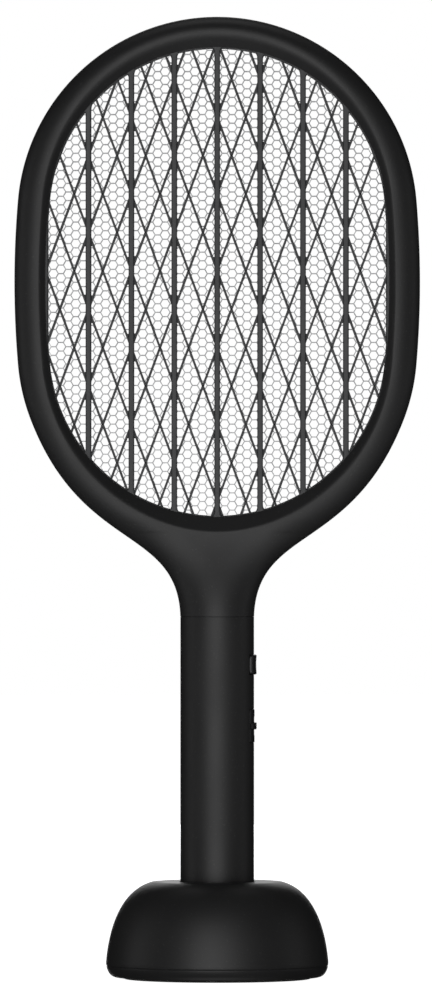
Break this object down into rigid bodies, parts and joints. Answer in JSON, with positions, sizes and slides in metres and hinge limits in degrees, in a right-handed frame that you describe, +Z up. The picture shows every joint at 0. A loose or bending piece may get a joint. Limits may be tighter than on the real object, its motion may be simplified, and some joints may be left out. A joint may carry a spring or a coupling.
{
  "type": "electric fly swatter",
  "caption": "Racket-shaped electric fly swatter with an oval net head and a round handle, standing upright in a domed charging dock.",
  "frame": {"origin": "on the floor, under the axis of the dock and the handle", "axes": "+Z up along the handle towards the head; +Y from the front grille to the rear grille; +X towards the trigger and the slide switch"},
  "size_m": [0.217, 0.119, 0.5145],
  "materials": {
    "body_black": "satin black ABS, fine even grain",
    "handle_black": "satin black ABS sleeve",
    "dock_black": "semi-gloss black ABS",
    "grille_grey": "dark grey nylon",
    "inner_plastic": "unpolished dark moulding",
    "rubber": "matt",
    "net_metal": "bright, punched and flattened",
    "screw_steel": "zinc plated",
    "spring_steel": "drawn wire",
    "ballast": "plain punched steel",
    "gold": "gold flashed",
    "board": "green solder mask",
    "cell_wrap": "shrunk blue wrap",
    "winding": "yellow tape over a ferrite core",
    "film": "dipped resin",
    "wire": "red silicone lead",
    "inlet_metal": "nickel plated"
  },
  "bodies": {
    "dock": {"dock_shell": "dock_black", "socket_cup": "inner_plastic", "base_plate": "inner_plastic", "foot_ring": "rubber", "ballast_plate": "ballast", "base_screws": "screw_steel", "charge_board": "board", "charge_inlet": "inlet_metal", "pin_housing": "inner_plastic", "pin_spring_left": "spring_steel", "pin_spring_right": "spring_steel"},
    "racket": {"head_front_shell": "body_black", "head_rear_shell": "body_black", "front_grille": "grille_grey", "rear_grille": "grille_grey", "ground_net": "net_metal", "live_net": "net_metal", "net_spacer": "inner_plastic", "frame_screws": "screw_steel", "handle_tube": "handle_black", "handle_end_cap": "body_black", "contact_pads": "gold", "inner_chassis": "inner_plastic", "battery_cell": "cell_wrap", "main_board": "board", "hv_transformer": "winding", "hv_capacitor": "film", "trigger_switch": "inner_plastic", "slide_switch": "inlet_metal", "switch_bezel": "body_black", "hv_leads": "wire", "handle_screws": "screw_steel", "trigger_spring": "spring_steel"},
    "pin_left": {"contact_pin_left": "gold"},
    "pin_right": {"contact_pin_right": "gold"},
    "trigger": {"trigger_button": "body_black"},
    "slider": {"power_slider": "body_black"}
  },
  "joints": [
    {"name": "racket_lift", "type": "slide", "parent": "dock", "child": "racket", "axis": [0, 0, 1], "range_m": [0, 0.1]},
    {"name": "pin_left_press", "type": "slide", "parent": "dock", "child": "pin_left", "axis": [0, 0, 1], "range_m": [-0.0012, 0], "stiffness_N_per_m": 100, "springref_m": 0.005, "deforming": ["pin_spring_left"]},
    {"name": "pin_right_press", "type": "slide", "parent": "dock", "child": "pin_right", "axis": [0, 0, 1], "range_m": [-0.0012, 0], "stiffness_N_per_m": 100, "springref_m": 0.005, "deforming": ["pin_spring_right"]},
    {"name": "trigger_press", "type": "slide", "parent": "racket", "child": "trigger", "axis": [-1, 0, 0], "range_m": [0, 0.0014], "stiffness_N_per_m": 300, "springref_m": -0.004, "deforming": ["trigger_spring"]},
    {"name": "switch_slide", "type": "slide", "parent": "racket", "child": "slider", "axis": [0, 0, 1], "range_m": [-0.003, 0.003]}
  ]
}
